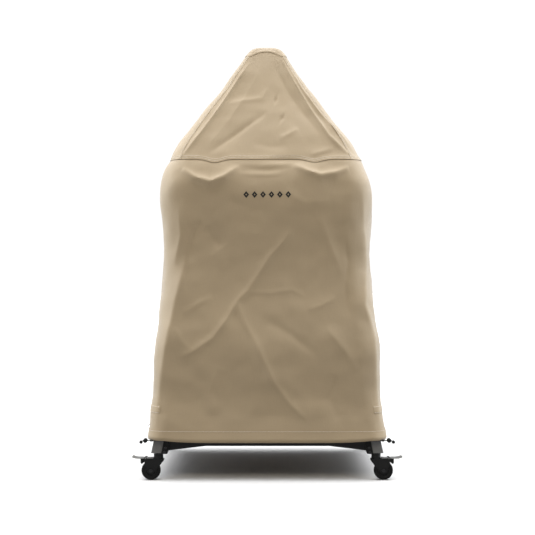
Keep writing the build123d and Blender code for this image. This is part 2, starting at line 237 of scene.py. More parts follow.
def canvas_finish(name, colour, thread):
    """Coated canvas: warp and weft threads, faded patches and a dusting of lighter fibres."""
    f = Finish(name, Sheen_Weight=0.50, Sheen_Roughness=0.42, Specular_IOR_Level=0.75)
    place = f.cloth_place()
    turns = math.pi / thread / 20
    warp = f.wave(place, turns, "X", 0.6)
    weft = f.wave(place, turns, "Y", 0.6)
    weave = warp * 0.6 + weft * 0.4
    grain = f.noise(place, 240.0, 3.0, 0.6)
    across, along = SLUBS
    upright = f.stretched(place, (across, along, 1.0))
    level = f.stretched(place, (along, across, 1.0))
    slub = f.noise(upright, 1.0, 2.0) * 0.55 + f.noise(level, 1.0, 2.0) * 0.45
    patches = f.noise(f.place(), 3.2, 4.0, 0.55)
    fade = patches * 0.35 + slub * 0.45 + grain * 0.20
    tint = f.mix(fade, shade(colour, 0.80), shade(colour, 1.20))
    f.give("Base Color", f.mix(weave * 0.22, tint, shade(colour, 0.72)))
    f.give("Roughness", patches * 0.14 + 0.66)
    f.bump(weave * 0.4 + slub * 0.6, 0.0009, 0.6)
    return f.material


def thread_finish(name, colour):
    """Twisted sewing thread."""
    f = Finish(name, Roughness=0.6)
    twist = f.wave(f.place(), 160.0, "DIAGONAL")
    f.give("Base Color", f.mix(twist, shade(colour, 0.85), shade(colour, 1.1)))
    f.bump(twist, 0.0002, 0.5)
    return f.material


def webbing_finish(name, colour):
    """Woven band with a herringbone rib."""
    f = Finish(name, Roughness=0.75)
    place = f.cloth_place()
    rib = f.wave(place, 90.0, "DIAGONAL")
    grain = f.noise(place, 500.0, 2.0)
    f.give("Base Color", f.mix(rib * 0.5 + grain * 0.3, shade(colour, 1.15), shade(colour, 0.7)))
    f.bump(rib + grain * 0.4, 0.0004, 0.6)
    return f.material


def plastic_finish(name, colour, rough=0.42):
    """Moulded plastic with a fine spark-eroded grain and rubbed high spots."""
    f = Finish(name, Specular_IOR_Level=0.3)
    place = f.place()
    grain = f.noise(place, 900.0, 2.0)
    rub = f.noise(place, 60.0, 3.0)
    f.give("Base Color", f.mix(rub, shade(colour, 0.8), shade(colour, 1.5)))
    f.give("Roughness", rub * 0.18 + (rough - 0.08))
    f.bump(grain, 0.0002, 0.4)
    return f.material


def paint_finish(name, colour, rough=0.5):
    """Powder coat: orange peel and a little dust."""
    f = Finish(name, Specular_IOR_Level=0.3)
    place = f.place()
    peel = f.noise(place, 420.0, 2.0)
    dust = f.noise(place, 14.0, 5.0, 0.6)
    f.give("Base Color", f.mix(dust, shade(colour, 0.85), shade(colour, 1.25)))
    f.give("Roughness", dust * 0.16 + (rough - 0.08))
    f.bump(peel, 0.0003, 0.5)
    return f.material


def metal_finish(name, colour, rough=0.34):
    """Plated steel with rolling marks."""
    f = Finish(name, Metallic=0.9)
    place = f.place()
    marks = f.noise(f.stretched(place, (30.0, 600.0, 600.0)), 1.0, 3.0)
    stain = f.noise(place, 45.0, 4.0)
    f.give("Base Color", f.mix(stain, shade(colour, 0.8), shade(colour, 1.1)))
    f.give("Roughness", marks * 0.2 + stain * 0.12 + (rough - 0.14))
    f.bump(marks, 0.0001, 0.3)
    return f.material


def rubber_finish(name, colour):
    """Solid tread, greyed by dust where it rolls."""
    f = Finish(name, Specular_IOR_Level=0.25)
    place = f.place()
    dust = f.noise(place, 55.0, 5.0, 0.65)
    grain = f.noise(place, 700.0, 2.0)
    f.give("Base Color", f.mix(dust, shade(colour, 0.7), shade(colour, 2.0)))
    f.give("Roughness", dust * 0.2 + 0.5)
    f.bump(grain, 0.0003, 0.4)
    return f.material


def wood_finish(name, colour):
    """Oiled boards with long grain."""
    f = Finish(name, Roughness=0.5)
    grain = f.noise(f.stretched(f.place(), (2.0, 22.0, 22.0)), 4.0, 6.0, 0.6)
    f.give("Base Color", f.mix(grain, shade(colour, 0.6), shade(colour, 1.3)))
    f.bump(grain, 0.0005, 0.4)
    return f.material


def braid_finish(name, colour):
    """Braided cord, on its own length and girth."""
    f = Finish(name, Roughness=0.7)
    place = f.cloth_place()
    strands = f.wave(place, 60.0, "DIAGONAL")
    f.give("Base Color", f.mix(strands, shade(colour, 0.6), shade(colour, 1.8)))
    f.bump(strands, 0.0004, 0.7)
    return f.material


FINISHES = {
    "canvas": canvas_finish("canvas", CANVAS, CANVAS_THREAD),
    "canvas_webbing": canvas_finish("canvas_webbing", shade(CANVAS, 1.04), WEBBING_THREAD),
    "thread": thread_finish("thread", (0.80, 0.74, 0.64)),
    "black_webbing": webbing_finish("black_webbing", (0.016, 0.016, 0.017)),
    "black_plastic": plastic_finish("black_plastic", (0.007, 0.007, 0.007)),
    "spring_steel": metal_finish("spring_steel", (0.62, 0.62, 0.6)),
    "black_cord": braid_finish("black_cord", (0.012, 0.012, 0.013)),
    "blackened_brass": metal_finish("blackened_brass", (0.05, 0.045, 0.04)),
    "frame_paint": paint_finish("frame_paint", (0.010, 0.010, 0.010)),
    # painted light: the legs' paint is much lighter than the frame's black, so their shaded front faces look
    # lit
    "leg_paint": paint_finish("leg_paint", (0.175, 0.173, 0.170), 0.42),
    "zinc_steel": metal_finish("zinc_steel", (0.05, 0.05, 0.052)),
    "oiled_wood": wood_finish("oiled_wood", (0.36, 0.23, 0.13)),
    "oven_paint": paint_finish("oven_paint", (0.09, 0.09, 0.09), 0.6),
    "caster_steel": paint_finish("caster_steel", (0.006, 0.006, 0.006), 0.34),
    "hub_plastic": plastic_finish("hub_plastic", (0.011, 0.011, 0.011)),
    "tyre": rubber_finish("tyre", (0.010, 0.010, 0.010)),
    "pedal_steel": metal_finish("pedal_steel", (0.42, 0.42, 0.41), 0.36),
    "mark_ink": plastic_finish("mark_ink", (0.02, 0.019, 0.018), 0.7),
}

# the legs take the lighter leg paint, which paints in the light on their front faces
for row in frame["record"]["subparts"]:
    paint_lit_leg = row["node"].startswith(("leg_front", "leg_rear"))
    for node_slot in frame["nodes"][row["node"]].material_slots:
        node_slot.material = FINISHES["leg_paint" if paint_lit_leg else row["material_slot"]]

# ---------------------------------------------------------------- the shape of the cover

HEM_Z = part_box("hem_band")[0][2]
HEM_TOP_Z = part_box("hem_band")[1][2]
SEAM_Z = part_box("skirt_front_panel")[1][2]
CAP_SEAM_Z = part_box("roof_front_panel")[1][2]
TOP_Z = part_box("cap_panel")[1][2]
CLOTH = 0.0012
LONG_SIDES = ("front", "back")
RING = ("front", "right", "back", "left")

# height and half width of the standing cover, from hem to cap
WIDTHS = [
    (0.130, 0.4450), (0.184, 0.4365), (0.242, 0.4300), (0.301, 0.4240), (0.390, 0.4224), (0.478, 0.4190),
    (0.598, 0.4056), (0.718, 0.3930), (0.823, 0.3878), (0.929, 0.3930), (1.010, 0.3985), (1.060, 0.3995),
    (1.100, 0.3945), (1.140, 0.3810), (1.165, 0.3700), (1.181, 0.3620), (1.219, 0.3440), (1.315, 0.2780),
    (1.446, 0.1880), (1.577, 0.1000), (1.607, 0.0820), (1.627, 0.0690), (1.640, 0.0560), (1.647, 0.0440),
]
# how much less the skirt's half depth is, and the height from which it eases into the roof's
DEPTH_LESS = 0.070
SHOULDER_Z = 1.05
# height and half depth of the roof
ROOF_DEPTHS = [(1.181, 0.292), (1.607, 0.0735), (1.627, 0.0625), (1.640, 0.0510), (1.647, 0.0400)]
# height and radius of the corners
CORNERS = [
    (0.13, 0.060), (0.40, 0.078), (0.82, 0.102), (1.05, 0.104), (1.181, 0.076), (1.30, 0.052),
    (1.607, 0.026), (1.65, 0.018),
]
# how far round a corner the left and right panels reach
CREASE = math.radians(62)
# how far the upper part leans to the left, the height where it starts and the height it takes
LEAN, LEAN_FROM, LEAN_OVER = 0.005, 0.45, 0.35
HEM_LIFT, HEM_RIDE = 0.004, 0.008
# the shoulder seam's height above the panels' edge, and its dips: how deep and where across
SEAM_RAISE = 0.002
DIPS = [(0.013, -0.66), (0.012, 0.63)]
DIP_WIDTH = 0.13
FRONT_ARCH, OTHER_ARCH = 0.019, 0.010


def eased(table, z):
    """Reads a table with a smooth curve through its points."""
    xs = np.array([a for a, _ in table])
    ys = np.array([b for _, b in table])
    slopes = np.gradient(ys, xs)
    z = np.clip(z, xs[0], xs[-1])
    i = np.clip(np.searchsorted(xs, z) - 1, 0, len(xs) - 2)
    step = xs[i + 1] - xs[i]
    t = (z - xs[i]) / step
    a = (1 + 2 * t) * (1 - t) ** 2 * ys[i] + t * (1 - t) ** 2 * step * slopes[i]
    return a + t * t * (3 - 2 * t) * ys[i + 1] - t * t * (1 - t) * step * slopes[i + 1]


def sizes(z):
    """Half width, half depth and corner radius of the cover at each height."""
    width = eased(WIDTHS, z)
    roof = np.interp(z, [a for a, _ in ROOF_DEPTHS], [b for _, b in ROOF_DEPTHS])
    to_roof = np.clip((z - SHOULDER_Z) / (SEAM_Z - SHOULDER_Z), 0, 1)
    step_in = ROOF_DEPTHS[0][1] - (eased(WIDTHS, SEAM_Z) - DEPTH_LESS)
    depth = np.where(z < SEAM_Z, width - DEPTH_LESS + to_roof * step_in, roof)
    return width, depth, eased(CORNERS, z)


def smooth(share):
    """Eases a share from 0 to 1 at both ends."""
    return share * share * (3 - 2 * share)


def columns(side):
    """The columns of one side panel: places on the straight, from -1 to 1, and headings round the corner."""
    quarter = math.pi / 2
    start = {"front": -quarter, "right": 0.0, "back": quarter, "left": math.pi}[side]
    lead, turns, straight = (quarter - CREASE, 12, 112) if side in LONG_SIDES else (CREASE, 26, 92)
    rows = [(-1.0, start - lead + lead * i / turns) for i in range(turns)]
    rows += [(-1 + 2 * i / straight, start) for i in range(straight + 1)]
    rows += [(1.0, start + lead * (i + 1) / turns) for i in range(turns)]
    along = np.array([a for a, _ in rows])
    heading = np.array([b for _, b in rows])
    one = np.ones_like(along)
    ways = {"front": (along, -one), "right": (one, along), "back": (-along, one), "left": (-one, -along)}
    return *ways[side], heading


def surface(side, z):
    """Points and outward directions of one side, for heights in rows and columns."""
    a, b, heading = columns(side)
    width, depth, radius = sizes(z)
    c, s = np.cos(heading), np.sin(heading)
    lean_over = smooth(np.clip((z - LEAN_FROM) / LEAN_OVER, 0, 1))
    x = a * (width - radius) + radius * c - LEAN * lean_over
    y = b * (depth - radius) + radius * s
    step = 0.004
    above, below = sizes(z + step), sizes(z - step)
    lean = (np.abs(c) * (below[0] - above[0]) + np.abs(s) * (below[1] - above[1])) / (2 * step)
    normal = np.stack([c + 0 * z, s + 0 * z, lean], axis=-1)
    normal /= np.linalg.norm(normal, axis=-1, keepdims=True)
    return np.stack([x, y, z + 0 * x], axis=-1), normal


def bell(value, centre, width):
    """1 at the centre, falling smoothly to 0 on both sides."""
    return np.exp(-(((value - centre) / width) ** 2))


def across_panel(side):
    """Where each column of a side is, from -1 at one corner to 1 at the other."""
    a, b, _ = columns(side)
    return a if side in LONG_SIDES else b


def seam_height(side):
    """The shoulder seam, which dips where the cloth hangs between the oven's shoulders."""
    dip = sum(deep * bell(across_panel(side), where, DIP_WIDTH) for deep, where in DIPS)
    return SEAM_Z + SEAM_RAISE - (dip if side in LONG_SIDES else 0.5 * dip)


def cap_height(side):
    """The cap's seam, which arches up over the front and back."""
    rise = FRONT_ARCH if side == "front" else OTHER_ARCH
    return CAP_SEAM_Z + rise * np.clip(1 - across_panel(side) ** 2, 0, 1) ** 0.8


def hem_height(side):
    """The hem's lower edge, which rides up at the corners where the cord draws it in."""
    return HEM_Z + HEM_LIFT + HEM_RIDE * np.abs(across_panel(side)) ** 6


def track(px, pz, points):
    """Distance from each place to a line of points, and how far along the line it is, from 0 to 1."""
    best = np.full(px.shape, 9.0)
    along = np.zeros(px.shape)
    lengths = [math.dist(p, q) for p, q in zip(points, points[1:])]
    total, done = sum(lengths), 0.0
    for (p, q), length in zip(zip(points, points[1:]), lengths):
        ux, uz = (q[0] - p[0]) / length, (q[1] - p[1]) / length
        t = np.clip((px - p[0]) * ux + (pz - p[1]) * uz, 0, length)
        gap = np.hypot(px - p[0] - t * ux, pz - p[1] - t * uz)
        nearer = gap < best
        best = np.where(nearer, gap, best)
        along = np.where(nearer, (done + t) / total, along)
        done += length
    return best, along


def fold(px, pz, points, height, width, sharp=0.25):
    """A ridge along a line of points, or a valley where height is negative; it fades at both ends."""
    gap, along = track(px, pz, points)
    profile = np.exp(-(np.sqrt((gap / width) ** 2 + sharp**2) - sharp) * 1.4)
    return height * profile * (4 * along * (1 - along) + 0.04) ** 0.7


# folds: points across and up, then the height (a valley's is negative) and the width
FRONT_FOLDS = [
    ([(0.092, 0.917), (0.011, 0.822), (-0.070, 0.698), (-0.106, 0.661)], 0.0070, 0.017),
    ([(-0.070, 0.698), (-0.106, 0.661), (-0.150, 0.588), (-0.201, 0.522), (-0.260, 0.482),
      (-0.311, 0.452)], 0.0064, 0.014),
    ([(-0.121, 0.668), (-0.084, 0.580), (-0.048, 0.515), (-0.011, 0.434), (0.026, 0.354), (0.070, 0.295),
      (0.143, 0.222)], 0.0066, 0.013),
    ([(-0.077, 0.690), (0.010, 0.686), (0.092, 0.698), (0.143, 0.672)], 0.0022, 0.009),
    ([(0.150, 0.625), (0.200, 0.640), (0.250, 0.672)], 0.0026, 0.014),
    ([(-0.004, 0.588), (0.090, 0.530), (0.187, 0.456)], -0.0055, 0.028),
    ([(-0.340, 0.560), (-0.315, 0.510), (-0.282, 0.478)], 0.0030, 0.014),
    ([(-0.311, 0.610), (-0.250, 0.650), (-0.201, 0.668)], 0.0030, 0.016),
    ([(0.194, 0.968), (0.230, 0.870), (0.275, 0.756)], 0.0060, 0.024),
    ([(-0.245, 0.954), (-0.280, 0.880), (-0.296, 0.800), (-0.300, 0.700)], -0.0060, 0.020),
    ([(-0.225, 0.930), (-0.201, 0.895), (-0.170, 0.850)], -0.0065, 0.034),
    ([(0.285, 0.900), (0.300, 0.800), (0.290, 0.700), (0.305, 0.600)], -0.0055, 0.022),
    ([(0.215, 0.560), (0.290, 0.470), (0.330, 0.400)], 0.0050, 0.022),
    ([(-0.330, 1.000), (-0.320, 0.900), (-0.345, 0.790)], 0.0050, 0.016),
    ([(-0.180, 0.420), (-0.210, 0.330), (-0.200, 0.240)], 0.0040, 0.030),
    ([(0.250, 0.390), (0.230, 0.300), (0.260, 0.220)], -0.0040, 0.030),
    ([(-0.315, 1.146), (-0.270, 1.112), (-0.212, 1.094), (-0.160, 1.112), (-0.105, 1.156)], 0.0170, 0.017),
    ([(0.097, 1.156), (0.150, 1.132), (0.197, 1.118), (0.250, 1.128), (0.303, 1.150)], 0.0150, 0.016),
    ([(-0.285, 0.900), (-0.300, 0.800), (-0.338, 0.655), (-0.352, 0.580), (-0.378, 0.450), (-0.392, 0.330),
      (-0.405, 0.200)], 0.0100, 0.024),
    ([(0.350, 1.080), (0.358, 0.950), (0.366, 0.780), (0.356, 0.645), (0.388, 0.540), (0.405, 0.340),
      (0.412, 0.200)], 0.0080, 0.020),
    ([(-0.100, 1.163), (-0.020, 1.160), (0.080, 1.164)], 0.0032, 0.005),
    ([(-0.080, 1.146), (0.010, 1.142), (0.090, 1.148)], -0.0032, 0.006),
    ([(-0.110, 1.128), (0.000, 1.122), (0.060, 1.126)], 0.0028, 0.006),
    ([(0.060, 1.060), (0.140, 1.020), (0.230, 1.030)], 0.0040, 0.028),
    ([(-0.140, 1.030), (-0.060, 0.990), (0.000, 1.000)], -0.0035, 0.030),
]
ROOF_FOLDS = [
    ([(-0.332, 1.186), (-0.308, 1.205), (-0.236, 1.305), (-0.184, 1.385), (-0.122, 1.490),
      (-0.060, 1.590)], 0.0070, 0.008),
    ([(0.340, 1.186), (0.292, 1.215), (0.232, 1.275), (0.163, 1.385), (0.102, 1.500),
      (0.058, 1.590)], 0.0070, 0.008),
    ([(0.330, 1.215), (0.262, 1.295), (0.200, 1.370), (0.130, 1.475), (0.075, 1.580)], 0.0050, 0.008),
    ([(0.000, 1.372), (-0.076, 1.315), (-0.172, 1.242), (-0.213, 1.208)], -0.0065, 0.014),
    ([(-0.152, 1.404), (-0.080, 1.418), (-0.020, 1.428), (0.000, 1.470)], 0.0045, 0.014),
    ([(0.050, 1.350), (0.064, 1.342)], -0.0040, 0.018),
    ([(0.026, 1.424), (0.040, 1.420)], -0.0045, 0.016),
    ([(0.160, 1.196), (0.205, 1.212), (0.248, 1.228)], 0.0050, 0.012),
    ([(0.046, 1.262), (0.085, 1.280), (0.118, 1.300)], 0.0045, 0.012),
    ([(0.030, 1.560), (0.075, 1.470), (0.130, 1.380), (0.200, 1.280)], -0.0060, 0.020),
    ([(-0.030, 1.540), (-0.085, 1.430), (-0.150, 1.330), (-0.230, 1.220)], 0.0035, 0.022),
    ([(-0.060, 1.250), (0.010, 1.230), (0.080, 1.236)], -0.0035, 0.022),
]
SIDE_FOLDS = [
    ([(-0.230, 1.150), (-0.120, 1.105), (0.000, 1.098), (0.120, 1.108), (0.230, 1.152)], 0.0065, 0.014),
    ([(-0.180, 1.050), (-0.120, 0.850), (-0.150, 0.640)], 0.0070, 0.028),
    ([(0.020, 1.000), (0.060, 0.800), (0.010, 0.600), (0.050, 0.420)], -0.0070, 0.030),
    ([(0.180, 1.020), (0.150, 0.830), (0.200, 0.650), (0.170, 0.480)], 0.0065, 0.026),
    ([(-0.210, 0.520), (-0.080, 0.430), (0.040, 0.360)], 0.0060, 0.024),
    ([(0.220, 0.560), (0.120, 0.460), (0.080, 0.340)], -0.0050, 0.026),
    ([(-0.250, 0.760), (-0.130, 0.700), (-0.020, 0.710)], 0.0045, 0.018),
]
SIDE_ROOF_FOLDS = [
    ([(0.000, 1.500), (0.050, 1.380), (0.120, 1.260)], 0.0050, 0.018),
    ([(-0.020, 1.450), (-0.070, 1.340), (-0.150, 1.230)], -0.0055, 0.018),
    ([(-0.080, 1.240), (0.010, 1.222), (0.090, 1.245)], 0.0040, 0.016),
]


def turned_over(folds, scale=1.0, shift=0.0):
    """The same folds mirrored across a panel, drawn in and shifted."""
    return [([(shift - scale * x, z) for x, z in line], height, width) for line, height, width in folds]


FOLDS = {
    ("skirt", "front"): FRONT_FOLDS,
    ("skirt", "back"): turned_over(FRONT_FOLDS, 0.9, 0.02),
    ("skirt", "left"): SIDE_FOLDS,
    ("skirt", "right"): turned_over(SIDE_FOLDS),
    ("roof", "front"): ROOF_FOLDS,
    ("roof", "back"): turned_over(ROOF_FOLDS),
    ("roof", "left"): SIDE_ROOF_FOLDS,
    ("roof", "right"): SIDE_ROOF_FOLDS,
}
# swells of the whole cloth: how many to the metre, and how high
SWELLS = [(3.4, 0.0085), (8.5, 0.0044), (20.0, 0.0018)]
# where a side's folds start to show as the cloth turns towards it, and over how much more of the turn
SHOWS_FROM, SHOWS_OVER = 0.2, 0.6
# the cloth lies calmer near the hem, the top and the shoulder seam: the reach, and the least share left
HEM_CALM, TOP_CALM, SEAM_CALM = (0.10, 0.15), (0.12, 0.12), 0.016


def rumple(points, scale, height, seed):
    """Smooth random swells, the same on every run."""
    shift = Vector((seed * 7.3, seed * 3.1, seed * 5.7))
    flat = points.reshape(-1, 3)
    values = [noise.noise(Vector(p) * scale + shift) for p in flat]
    return height * np.array(values).reshape(points.shape[:-1])


def hang(part, points, normal):
    """The cloth's own folds, pushed out along the surface; each side's fade out round the corners."""
    x, y, z = points[..., 0], points[..., 1], points[..., 2]
    push = sum(rumple(points, scale, height, i + 1) for i, (scale, height) in enumerate(SWELLS))
    level = np.hypot(normal[..., 0], normal[..., 1])
    faces = {"front": (-normal[..., 1], x), "back": (normal[..., 1], -x)}
    faces |= {"left": (-normal[..., 0], -y), "right": (normal[..., 0], y)}
    for way, (facing, across) in faces.items():
        share = smooth(np.clip((facing / level - SHOWS_FROM) / SHOWS_OVER, 0, 1))
        folds = FOLDS.get((part, way), [])
        pushed = sum((fold(across, z, line, height, width) for line, height, width in folds), 0 * z)
        push = push + share * pushed
    near_hem = np.clip((z - HEM_Z) / HEM_CALM[0], HEM_CALM[1], 1)
    near_top = np.clip((TOP_Z - z) / TOP_CALM[0], TOP_CALM[1], 1)
    calm = near_hem * (1 - bell(z, SEAM_Z, SEAM_CALM)) * near_top
    return points + normal * (push * calm)[..., None]


SHARP_ANGLE = math.radians(55)


def choose(piece):
    """Selects one piece for the operators that follow."""
    bpy.ops.object.select_all(action="DESELECT")
    bpy.context.view_layer.objects.active = piece
    piece.select_set(True)


def thicken(piece, thickness):
    """Makes a chosen open surface solid, inward from its outside."""
    solid = piece.modifiers.new("thickness", "SOLIDIFY")
    solid.thickness = thickness
    solid.offset = -1
    bpy.ops.object.modifier_apply(modifier="thickness")


def linked(name, verts, faces):
    """A new piece of the scene with a mesh of these points and faces."""
    mesh = bpy.data.meshes.new(name)
    mesh.from_pydata(verts, [], faces)
    piece = bpy.data.objects.new(name, mesh)
    bpy.context.collection.objects.link(piece)
    return piece


def cloth_object(name, points, uv, thickness=CLOTH):
    """A grid of points as a sheet with thickness, its outside on the given points."""
    rows, cols = points.shape[:2]
    index = np.arange(rows * cols).reshape(rows, cols)
    quads = np.stack([index[:-1, :-1], index[:-1, 1:], index[1:, 1:], index[1:, :-1]], axis=-1)
    piece = linked(name, points.reshape(-1, 3).tolist(), quads.reshape(-1, 4).tolist())
    layer = piece.data.uv_layers.new(name="cloth")
    corner_points = np.array([loop.vertex_index for loop in piece.data.loops])
    layer.data.foreach_set("uv", uv.reshape(-1, 2)[corner_points].astype(np.float32).ravel())
    choose(piece)
    if thickness:
        thicken(piece, thickness)
    bpy.ops.object.shade_smooth_by_angle(angle=SHARP_ANGLE)
    return piece


def finished(piece, finish):
    """Gives a piece of the cover its material and its body."""
    piece.data.materials.clear()
    piece.data.materials.append(FINISHES[finish])
    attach(piece, "cover")
    return piece


PANEL_ROWS = {"hem": 10, "skirt": 150, "roof": 66, "cap": 12}
# how far the skirt goes up behind the hem, and the cap's wall stops below the top
HEM_OVERLAP, CAP_EDGE = 0.004, 0.002
# the skirt's tuck under the roof, and the hem's pinch at its lower edge, each with its reach
TUCK, TUCK_REACH = 0.0008, 0.006
HEM_STAND, HEM_PINCH, PINCH_REACH = 0.0022, 0.0035, 0.0045
# how the roof laps over the skirt and the cap over the roof: rise, depth and taper
LAPS = {"roof": (0.0014, 0.016, 0.005), "cap": (0.0016, 0.012, 0.004)}


def edge_relief(part, above, below):
    """How far a part stands off at its edges, by the distances from its lower and its upper edge."""
    if part == "skirt":
        return -TUCK * bell(below, 0, TUCK_REACH)
    if part == "hem":
        return HEM_STAND - HEM_PINCH * bell(above, 0, PINCH_REACH)
    rise, lap, taper = LAPS[part]
    return rise * np.clip((lap - above) / taper, 0, 1)


def panel_points(side, part):
    """The grid of one panel between its two seams, with its folds."""
    level = 0 * across_panel(side)
    lower, upper = {
        "hem": (hem_height(side), level + HEM_TOP_Z),
        "skirt": (level + HEM_TOP_Z - HEM_OVERLAP, seam_height(side)),
        "roof": (seam_height(side), cap_height(side)),
        "cap": (cap_height(side), level + TOP_Z - CAP_EDGE),
    }[part]
    z = lower + (upper - lower) * np.linspace(0, 1, PANEL_ROWS[part] + 1)[:, None]
    points, normal = surface(side, z)
    points = hang(part, points, normal) + normal * edge_relief(part, z - lower, upper - z)[..., None]
    across = np.linalg.norm(np.diff(points, axis=1), axis=-1).mean(axis=0)
    u = np.concatenate([[0], np.cumsum(across)])
    u = np.broadcast_to(u - u[-1] / 2, z.shape)
    uv = np.stack([u, z + 0 * u], axis=-1)
    return points, uv


# each panel's cut: its width and length
CUTS = {
    "skirt": {"front": (0.83, 1.03), "back": (0.83, 1.03), "left": (0.74, 1.03), "right": (0.74, 1.03)},
    "roof": {"front": (0.70, 0.50), "back": (0.70, 0.50), "left": (0.62, 0.53), "right": (0.62, 0.53)},
}


def cover_panels():
    """The eight panels, each a sheet draped over the oven."""
    grids = {}
    for part, cuts in CUTS.items():
        for side, flat in cuts.items():
            points, uv = panel_points(side, part)
            grids[part, side] = points
            piece = finished(cloth_object(f"{part}_{side}_cloth", points, uv), "canvas")
            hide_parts(f"{part}_{side}_panel")
    return grids


GRIDS = cover_panels()


def ring_points(part):
    """One closed grid made of the four sides of a part."""
    blocks, maps = [], []
    offset = 0.0
    for side in RING:
        points, uv = panel_points(side, part)
        width = uv[0, -1, 0] - uv[0, 0, 0]
        shifted = uv.copy()
        shifted[..., 0] += offset - uv[0, 0, 0]
        offset += width
        last = side == RING[-1]
        blocks.append(points if last else points[:, :-1])
        maps.append(shifted if last else shifted[:, :-1])
    return np.concatenate(blocks, axis=1), np.concatenate(maps, axis=1)


def weld(piece, distance):
    """Joins the two ends of a ring."""
    bm = bmesh.new()
    bm.from_mesh(piece.data)
    bmesh.ops.remove_doubles(bm, verts=bm.verts, dist=distance)
    bm.to_mesh(piece.data)
    bm.free()


RING_WELD, TUBE_WELD = 0.0002, 0.00001
THIN_CLOTH = 0.0008
# the rolled edge from its inside end to the hem's lower edge: inward, down, and how far back along the cloth
HEM_ROLL = [
    (0.0085, -0.0120, 0.024), (0.0090, -0.0040, 0.016), (0.0075, 0.0, 0.012), (0.0045, 0.0016, 0.008),
    (0.0016, 0.0012, 0.004),
]
# the rings that close the cap in, as shares of its upper edge, and how the crown domes
CROWN = (0.80, 0.55, 0.25, 0.02)
CROWN_DROP, CROWN_DOME, CROWN_CLOTH = 0.0005, 0.0015, 0.05


def make_hem():
    """The hem band, its lower edge rolled round the cord."""
    points, uv = ring_points("hem")
    lower = points[0]
    inward = -lower
    inward[:, 2] = 0
    inward /= np.linalg.norm(inward, axis=1, keepdims=True)
    roll = [lower + inward * step - np.array([0, 0, 1]) * drop for step, drop, _ in HEM_ROLL]
    rolled_map = [np.stack([uv[0, :, 0], uv[0, :, 1] - back], axis=-1) for _, _, back in HEM_ROLL]
    points = np.concatenate([np.array(roll), points], axis=0)
    uv = np.concatenate([np.array(rolled_map), uv], axis=0)
    piece = cloth_object("hem_cloth", points, uv, THIN_CLOTH)
    weld(piece, RING_WELD)
    finished(piece, "canvas")
    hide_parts("hem_band")


def make_cap():
    """The cap: a ring that closes in to a flat top."""
    points, uv = ring_points("cap")
    crown, crown_map = [], []
    for share in CROWN:
        row = points[-1].copy()
        row[:, :2] *= share
        row[:, 2] = TOP_Z - CROWN_DROP - CROWN_DOME * share**4
        crown.append(row)
        crown_map.append(np.stack([uv[-1, :, 0] * share, uv[-1, :, 1] + (1 - share) * CROWN_CLOTH], axis=-1))
    points = np.concatenate([points, np.array(crown)], axis=0)
    uv = np.concatenate([uv, np.array(crown_map)], axis=0)
    piece = cloth_object("cap_cloth", points, uv)
    weld(piece, RING_WELD)
    finished(piece, "canvas")
    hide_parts("cap_panel")


make_hem()
make_cap()

# ---------------------------------------------------------------- stitching and seams


STITCH_PITCH, STITCH_LENGTH, THREAD_THICK = 0.0048, 0.0036, 0.0012
STITCH_LIFT = 0.0003
# the faces of one stitch, a ridge that tapers to both ends, on its nine points
STITCH_FACES = [
    (0, 1, 3), (0, 3, 5), (0, 5, 2), (1, 4, 3), (2, 5, 4), (1, 2, 4), (0, 2, 1),
    (6, 3, 7), (6, 5, 3), (6, 8, 5), (7, 3, 4), (8, 4, 5), (7, 4, 8), (6, 7, 8),
]


def travelled(path):
    """The distance along a path at each of its points."""
    return np.concatenate([[0], np.cumsum(np.linalg.norm(np.diff(path, axis=0), axis=1))])


def stitch_row(name, path, outward):
    """A row of separate stitches along a path, lying on the cloth."""
    distance = travelled(path)
    count = int(distance[-1] / STITCH_PITCH)
    middles = (np.arange(count) + 0.5) * STITCH_PITCH

    def at(values, places):
        return np.stack([np.interp(places, distance, values[:, k]) for k in range(3)], axis=-1)

    start, end = at(path, middles - STITCH_LENGTH / 2), at(path, middles + STITCH_LENGTH / 2)
    out = at(outward, middles)
    out /= np.linalg.norm(out, axis=1, keepdims=True)
    along = end - start
    along /= np.linalg.norm(along, axis=1, keepdims=True)
    side = np.cross(along, out) * THREAD_THICK / 2
    lift = out * THREAD_THICK * 0.8
    middle = (start + end) / 2
    corners = [start, start + side * 0.6 + lift * 0.2, start - side * 0.6 + lift * 0.2]
    corners += [middle + side + lift * 0.3, middle + lift, middle - side + lift * 0.3]
    corners += [end, end + side * 0.6 + lift * 0.2, end - side * 0.6 + lift * 0.2]
    verts = np.stack(corners, axis=1).reshape(-1, 3)
    faces = [tuple(len(corners) * i + k for k in face) for i in range(count) for face in STITCH_FACES]
    return finished(linked(name, verts.tolist(), faces), "thread")


def ring_path(part, row):
    """A closed path round the cover at one row of a part, stood off the cloth."""
    path, outward = [], []
    for side in RING:
        points, _ = panel_points(side, part)
        _, normal = surface(side, points[..., 2])
        path.append(points[row] + normal[row] * STITCH_LIFT)
        outward.append(normal[row])
    return np.concatenate(path), np.concatenate(outward)


stitch_row("hem_stitch", *ring_path("hem", -2))
stitch_row("seam_stitch_low", *ring_path("roof", 1))
stitch_row("seam_stitch_high", *ring_path("roof", 2))

TAPE_HALF, TAPE_RISE = 0.0055, 0.0009
# the tape's section: shares of its half width across, and of its rise
TAPE_SECTION = [(-1.0, -0.6), (-0.86, 0.75), (-0.5, 1.0), (0.0, 0.8), (0.5, 1.0), (0.86, 0.75), (1.0, -0.6)]
TAPE_STITCHES = {"a": -0.55, "b": 0.55}


